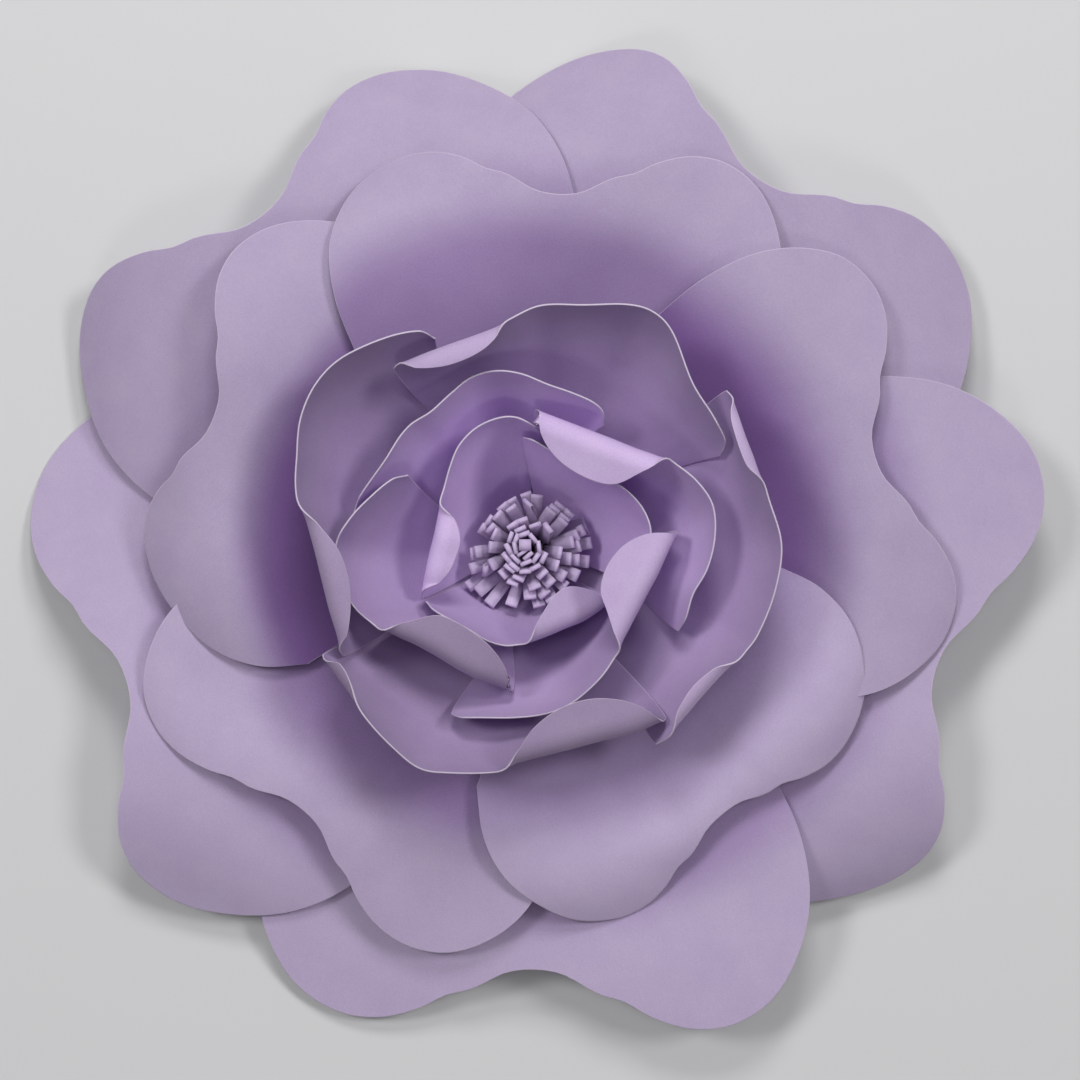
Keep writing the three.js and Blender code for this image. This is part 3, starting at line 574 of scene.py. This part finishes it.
def sheetObject(node, slot, place, lightAndShadeAt, shape, length, seed):
    name = node + "_sheet"
    columns, rows, wave = shape["columns"], shape["rows"], shape["wave"]
    bm = bmesh.new()
    bmesh.ops.create_grid(bm, x_segments=columns, y_segments=rows, size=1)
    bm.verts.ensure_lookup_table()
    co = np.array([v.co for v in bm.verts])
    i = np.rint((co[:, 0] + 1) / 2 * columns).astype(int)
    j = np.rint((co[:, 1] + 1) / 2 * rows).astype(int)
    u = edgeRows(columns, sheet["edgeBand"], length)[i] * 2 - 1
    v = np.concatenate([np.linspace(0, 1 - sheet["edgeBand"] / length, rows), [1]])[j]
    points = place(u, v)
    paleEdge = bm.verts.layers.float.new("cutEdge")
    tintAndShade = bm.verts.layers.float_vector.new("tintAndShade")
    lightAndShadeValues = lightAndShadeAt(u, v, points)
    for k, vert in enumerate(bm.verts):
        vert.co = points[k] * mm
        vert[paleEdge] = 1.0 if (j[k] == rows or i[k] in (0, columns)) else 0.0
        vert[tintAndShade] = lightAndShadeValues[k]
    bm.normal_update()
    for k, vert in enumerate(bm.verts):             # paper is never quite even
        p = Vector(points[k])
        soft = noise.noise(p * sheet["softWave"] + Vector((seed * 7.3, 0, 0)))
        rim = noise.noise(p * sheet["rimWave"] + Vector((0, seed * 5.1, 0))) * v[k] ** 3
        vert.co += vert.normal * (soft * wave[0] + rim * wave[1]) * v[k] * mm
    paperPiece(name, bm, slot, node, sheet["thickness"], True)


seed = 0
under = np.zeros((0, 3))
dense = np.meshgrid(np.linspace(-1, 1, restMap["denseColumns"] + 1),
                    np.linspace(0, 1, restMap["denseRows"] + 1), indexing="ij")
for ring in (outerRing, secondRing):
    for petal in ring["petals"]:
        seed += 1
        own = openPetal(petal, ring, dense[0].ravel(), dense[1].ravel())
        lift = liftMap(under, own, ring["tilt"])
        under = np.vstack([under, lifted(own, lift, ring["tilt"])])

        def place(u, v, petal=petal, ring=ring, lift=lift):
            return lifted(openPetal(petal, ring, u, v), lift, ring["tilt"])

        # painted shade darkens the paper towards the cup, and on the outer ring under the second ring's
        # edges; the petal's tone multiplies in painted light
        def lightAndShadeAt(u, v, points, petal=petal, ring=ring):
            start, end, shadeStrength = petal.get("deep", ring["deep"])
            radius = np.hypot(points[:, 0], points[:, 1])
            return (blendShade(shadeStrength * eased01((start - radius) / (start - end)), shadesAndTints["deepest"])
                    * petal.get("tone", 1.0))

        sheetObject(petal["name"], ring["slot"], place, lightAndShadeAt, petalTemplate,
                    petalTemplate["middleLength"] * petal["size"], seed)
    print("open petals made:", ring["slot"])

for ring in (thirdRing, fourthRing, innerRing):
    for petal in ring["petals"]:
        seed += 1
        rows = [(r * math.sin(math.radians(az)), r * math.cos(math.radians(az)), z, lip)
                for az, r, z, lip in petal["rim"]]
        petal["line"] = smoothLine(rows, cupShape["rimSteps"])

        def place(u, v, petal=petal, ring=ring):
            return cupPetal(petal, ring, u, v)

        # a petal's tone is painted light and shade on its inside; past the fold a rolled lip takes the lip
        # colour, with its own painted light and shade
        def lightAndShadeAt(u, v, points, petal=petal, ring=ring):
            lip = pointsAlong(petal["line"], (u + 1) / 2, 3)[:, 3]
            pastFold = eased01((v - cupShape["foldShare"]) * cupShape["lipFade"])
            rolled = (pastFold * eased01(lip / cupShape["lipFull"]))[:, None]
            back = np.array(shadesAndTints["lip"]) * petal.get("lipLightAndShade", 1.0)
            return petal.get("tone", ring["tone"]) * (1 - rolled) + back * rolled

        sheetObject(petal["name"], ring["slot"], place, lightAndShadeAt, cupShape,
                    ring["foot"] * cupShape["lengthPerFoot"], seed)
    print("cup petals made:", ring["slot"])

# the rolled strip and its loops, in millimetres
fringe = {
    "middle": (-3.5, -1.5),    # the roll stands a little off the flower's middle
    "foot": 1.5, "rollHeight": 22, "rollRadius": 12.5, "rollTurns": 10, "turnSteps": 36,
    "rollStart": 1.2,          # radius of the roll's first turn
    "rollPaper": 0.5,
    "loopWidth": 6.1, "loopGap": 1.9, "loopLength": 27, "paper": 0.35,
    "rootDepth": 1.5,          # loops start this far below the roll's top
    "legSteps": 10, "roundSteps": 6,
    "bentShare": 0.4,          # a loop bends over this share of its length, then runs straight
    "furthest": 29,            # distance of an outermost tip
    "furthestReach": 17,       # how far such a loop leans out
    "reachPower": 1.3,         # and how quickly that lessens towards the middle
    "pinched": 0.3,            # share of a loop's gap left at its foot
    "lengthUneven": 0.8, "gapUneven": 0.3, "widthUneven": 0.12, "turnUneven": 8,
    "innerLight": 0.75, "outerLight": 0.7,    # how far up a leg the painted shade at a loop's foot lifts to painted light, further on outer loops
    "steepestBend": 1.75,      # radians
    "bendTries": 24, "bendSteps": 20,
    # where each loop's tip ends, seen from above: across, up, the way it faces
    "outerLoops": [
        (0, 28, 337), (5.5, 27, 5), (-7.5, 25, 332), (-12, 22, 320), (-19, 15, 305), (-22.5, 11, 302),
        (-27.5, -2, 265), (-25, -1, 263), (-27.5, -9.5, 252), (-29, -18.5, 232), (-24, -21, 229),
        (-18.5, -27, 218), (-7.5, -27.5, 200), (6.5, -28, 165), (13, -25, 150), (19.5, -18.5, 130),
        (25.5, -13, 113), (31, -6, 95), (26, -5, 92), (32, 3.5, 78), (28.5, 10, 62), (25.5, 7.5, 68),
        (26.5, 2, 76), (17, 22.5, 38), (14.5, 21, 38), (21.5, 19, 42),
    ],
    "middleLoops": [
        (-7.5, 21, 325), (-14.5, 17.5, 312), (-18, 11, 310), (-16, 8, 298), (-18, 1.5, 274),
        (-17.5, -7.5, 245), (22, -4.5, 95), (23, 4, 78), (12.5, 19.5, 35), (19.5, 16.5, 42),
        (18.5, 14.5, 42), (4.5, 12.5, 338), (-2, 15, 342), (-7, 12.5, 328), (15.5, -8, 105),
        (17, -1.5, 95), (19, -13.5, 118), (12.5, -17, 135), (4.5, -19, 155), (9.5, -22.5, 143),
        (2, -24, 175), (-4, -14.5, 205), (-7, -17, 205), (-12, -12.5, 230),
    ],
    "innerLoops": [
        (-3, 10.5, 335), (-1, 8, 340), (3.5, 6, 50), (-8, 6.5, 290), (-5, 5.5, 290),
        (-9, 0.5, 247), (-5.5, 1, 255), (-10, -4, 230), (-5.5, -4.5, 225), (-8.5, -9.5, 216),
        (-6, -8.5, 220), (6.5, 1.5, 80), (-2, -1.5, 328), (1, -3, 140), (5, -4, 125), (9, -4, 118),
        (0, -6.5, 160), (4.5, -9, 150), (-0.5, -11, 180), (8.5, -12.5, 135),
    ],
    "oddLoops": [              # and how far each is turned round itself, and how wide it gapes
        (1, 23.5, 345, 62, 1), (-21, -10.5, 235, 48, 1), (11, 11, 20, 38, 1.5), (-0.5, 2.5, 357, 0, 2.7),
    ],
    # the strip's plain end, bent out under the loops
    "endTab": {"tip": (30.5, 12.3), "facing": 68, "width": 10, "length": 27, "startHeight": 17,
               "clear": 0.6, "shade": 0.55},
}


def loopPath(bend, length, steps):
    path = [(0.0, 0.0, 0.0)]
    for k in range(steps):
        share = (k + 0.5) / steps
        a = bend * min(1, share / fringe["bentShare"])
        s, h, _ = path[-1]
        path.append((s + math.sin(a) * length / steps, h + math.cos(a) * length / steps, a))
    return path


def bendFor(reach, length):
    low, high = 0.0, fringe["steepestBend"]
    for _ in range(fringe["bendTries"]):
        middle = (low + high) / 2
        if loopPath(middle, length, fringe["bendSteps"])[-1][0] < reach:
            low = middle
        else:
            high = middle
    return low


def addStrip(bm, columns, rows, spot):
    made = bmesh.ops.create_grid(bm, x_segments=columns, y_segments=rows, size=1)
    for vert in made["verts"]:
        across = round((vert.co.x + 1) / 2 * columns)
        along = round((vert.co.y + 1) / 2 * rows)
        place, shade = spot(across / columns, along)
        vert.co = Vector(place) * mm
        vert[bm.verts.layers.float_vector["tintAndShade"]] = shade


# painted shade low on a loop, lifting to painted light towards its tip
def loopShading(height):
    share = eased01([height])[0]
    return [a + (b - a) * share for a, b in zip(shadesAndTints["loopFootShade"], shadesAndTints["loopTipLight"])]


def addLoop(bm, x, y, facing, twist, fullness, number):
    legs, rounds = fringe["legSteps"], fringe["roundSteps"]
    total = 2 * legs + rounds
    distance = math.hypot(x, y)
    outness = distance / fringe["furthest"]
    reach = fringe["furthestReach"] * outness ** fringe["reachPower"]
    length = fringe["loopLength"] + fringe["lengthUneven"] * noise.noise(Vector((number * 0.91, 8.2, 0)))
    path = loopPath(bendFor(reach, length), length, legs)
    ahead = Vector((math.sin(math.radians(facing)), math.cos(math.radians(facing)), 0))
    sideways = Vector((ahead.y, -ahead.x, 0))
    up = Vector((0, 0, 1))
    start = (Vector((x, y, 0)) - ahead * path[-1][0] + Vector((*fringe["middle"], 0))
             + up * (fringe["foot"] + fringe["rollHeight"] - fringe["rootDepth"]))
    gapWave = fringe["gapUneven"] * noise.noise(Vector((number * 2.3, 1.3, 0)))
    gap = fringe["loopGap"] * fullness * (1 + gapWave)
    widthWave = fringe["widthUneven"] * noise.noise(Vector((number * 1.3, 4.4, 0)))
    width = fringe["loopWidth"] * (1 + widthWave)
    turnHere = math.radians(twist + fringe["turnUneven"] * noise.noise(Vector((number * 3.1, 5.5, 0))))

    def spot(across, along):
        if legs < along < legs + rounds:
            s, h, a = path[-1]
            phi = math.pi * (along - legs) / rounds
            off, beyond, t = -gap / 2 * math.cos(phi), gap / 2 * math.sin(phi), 1.0
        else:
            k = along if along <= legs else total - along
            s, h, a = path[k]
            t = k / legs
            off = (-1 if along <= legs else 1) * gap / 2 * (fringe["pinched"] + (1 - fringe["pinched"]) * t)
            beyond = 0.0
        along3 = ahead * math.sin(a) + up * math.cos(a)
        out3 = ahead * math.cos(a) - up * math.sin(a)
        turn = turnHere * t
        side = (across - 0.5) * width
        place = (start + ahead * s + up * h + along3 * beyond
                 + out3 * (off * math.cos(turn) - side * math.sin(turn))
                 + sideways * (side * math.cos(turn) + off * math.sin(turn)))
        return place, loopShading(t * (fringe["innerLight"] + fringe["outerLight"] * outness))

    addStrip(bm, 1, total, spot)


def addEndTab(bm):
    tab, steps = fringe["endTab"], fringe["legSteps"]
    ahead = Vector((math.sin(math.radians(tab["facing"])), math.cos(math.radians(tab["facing"])), 0))
    sideways = Vector((ahead.y, -ahead.x, 0))
    reach = math.hypot(*tab["tip"]) - fringe["rollRadius"] - tab["clear"]
    path = loopPath(bendFor(reach, tab["length"]), tab["length"], steps)
    start = (Vector((tab["tip"][0], tab["tip"][1], 0)) - ahead * path[-1][0]
             + Vector((*fringe["middle"], tab["startHeight"])))

    def spot(across, along):
        s, h, _ = path[along]
        side = (across - 0.5) * tab["width"]
        return start + ahead * s + Vector((0, 0, h)) + sideways * side, loopShading(tab["shade"])

    addStrip(bm, 6, steps, spot)


def buildFringe():
    bm = bmesh.new()
    bm.verts.layers.float_vector.new("tintAndShade")
    loops = [(*row, 0, 1) for row in fringe["outerLoops"] + fringe["middleLoops"] + fringe["innerLoops"]]
    for number, row in enumerate(loops + fringe["oddLoops"]):
        addLoop(bm, *row, number)
    paperPiece("fringe_loops", bm, "fringe", "centre_fringe", fringe["paper"], False)

    bm = bmesh.new()
    bm.verts.layers.float_vector.new("tintAndShade")
    steps = fringe["rollTurns"] * fringe["turnSteps"]
    middleX, middleY = fringe["middle"]

    def onRoll(across, along):
        angle = along / fringe["turnSteps"] * 2 * math.pi
        radius = fringe["rollStart"] + (fringe["rollRadius"] - fringe["rollStart"]) * along / steps
        # the whole roll is given the dark loop-foot colour as painted shade
        return (middleX + math.sin(angle) * radius, middleY + math.cos(angle) * radius,
                fringe["foot"] + across * fringe["rollHeight"]), shadesAndTints["loopFootShade"]

    addStrip(bm, 1, steps, onRoll)
    addEndTab(bm)
    paperPiece("fringe_roll", bm, "fringe", "centre_fringe", fringe["rollPaper"], False)


buildFringe()
print("fringe made")

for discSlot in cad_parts["backing_disc"].material_slots:
    discSlot.material = papers["disc"]


# floor, lights and camera, in metres and degrees
studio = {
    "floorSize": 60.0, "floorColour": (0.68, 0.68, 0.69), "floorDrop": 0.0004,
    "fillStrength": 0.13, "fillColour": (1.0, 1.0, 1.0),
    "cameraHeight": 1.5, "cameraX": 0.0035, "cameraY": 0.0035, "lens": 96, "sensor": 36,
    # the main softbox stands beside the table, the others reach the whole room
    "boxDirection": 0, "boxElevation": 50, "boxDistance": 1.7, "boxSize": 0.42, "boxPower": 9.5,
    "lampSpread": 14,          # degrees
    "lamps": [                 # name, direction, elevation, strength
        ("topLamp", 0, 80, 0.24),
        ("farRightLamp", 64, 50, 0.80),
        ("farLeftLamp", 297, 52, 0.78),
        ("nearLamp", 180, 54, 0.22),
    ],
}


def placeLamp(lamp, direction, elevation, distance):
    az, el = math.radians(direction), math.radians(elevation)
    place = Vector((math.sin(az) * math.cos(el), math.cos(az) * math.cos(el), math.sin(el)))
    holder = bpy.data.objects.new(lamp.name, lamp)
    holder.location = place * distance
    holder.rotation_euler = (-place).to_track_quat("-Z", "Y").to_euler()
    bpy.context.scene.collection.objects.link(holder)


def buildStudio():
    bm = bmesh.new()
    bmesh.ops.create_grid(bm, x_segments=2, y_segments=2, size=studio["floorSize"] / 2)
    mesh = bpy.data.meshes.new("floor")
    bm.to_mesh(mesh)
    bm.free()
    floor = bpy.data.objects.new("floor", mesh)
    floor.location.z = -studio["floorDrop"]
    bpy.context.scene.collection.objects.link(floor)
    mat = bpy.data.materials.new("paleFloor")
    mat.use_nodes = True
    bsdf = mat.node_tree.nodes["Principled BSDF"]
    bsdf.inputs["Base Color"].default_value = (*studio["floorColour"], 1)
    bsdf.inputs["Roughness"].default_value = 0.9
    mesh.materials.append(mat)

    softbox = bpy.data.lights.new("softbox", "AREA")
    softbox.energy = studio["boxPower"]
    softbox.size = studio["boxSize"]
    placeLamp(softbox, studio["boxDirection"], studio["boxElevation"], studio["boxDistance"])
    for name, direction, elevation, strength in studio["lamps"]:
        lamp = bpy.data.lights.new(name, "SUN")
        lamp.energy = strength
        lamp.angle = math.radians(studio["lampSpread"])
        placeLamp(lamp, direction, elevation, 1.0)
    bpy.context.scene.view_settings.view_transform = "Standard"

    world = bpy.data.worlds.new("softRoom")
    bpy.context.scene.world = world
    world.use_nodes = True
    sky = world.node_tree.nodes["Background"]
    sky.inputs["Color"].default_value = (*studio["fillColour"], 1)
    sky.inputs["Strength"].default_value = studio["fillStrength"]

    lens = bpy.data.cameras.new("camera")
    lens.lens = studio["lens"]
    lens.sensor_width = studio["sensor"]
    camera = bpy.data.objects.new("camera", lens)
    camera.location = (studio["cameraX"], studio["cameraY"], studio["cameraHeight"])
    bpy.context.scene.collection.objects.link(camera)
    bpy.context.scene.camera = camera


buildStudio()
print("studio made")
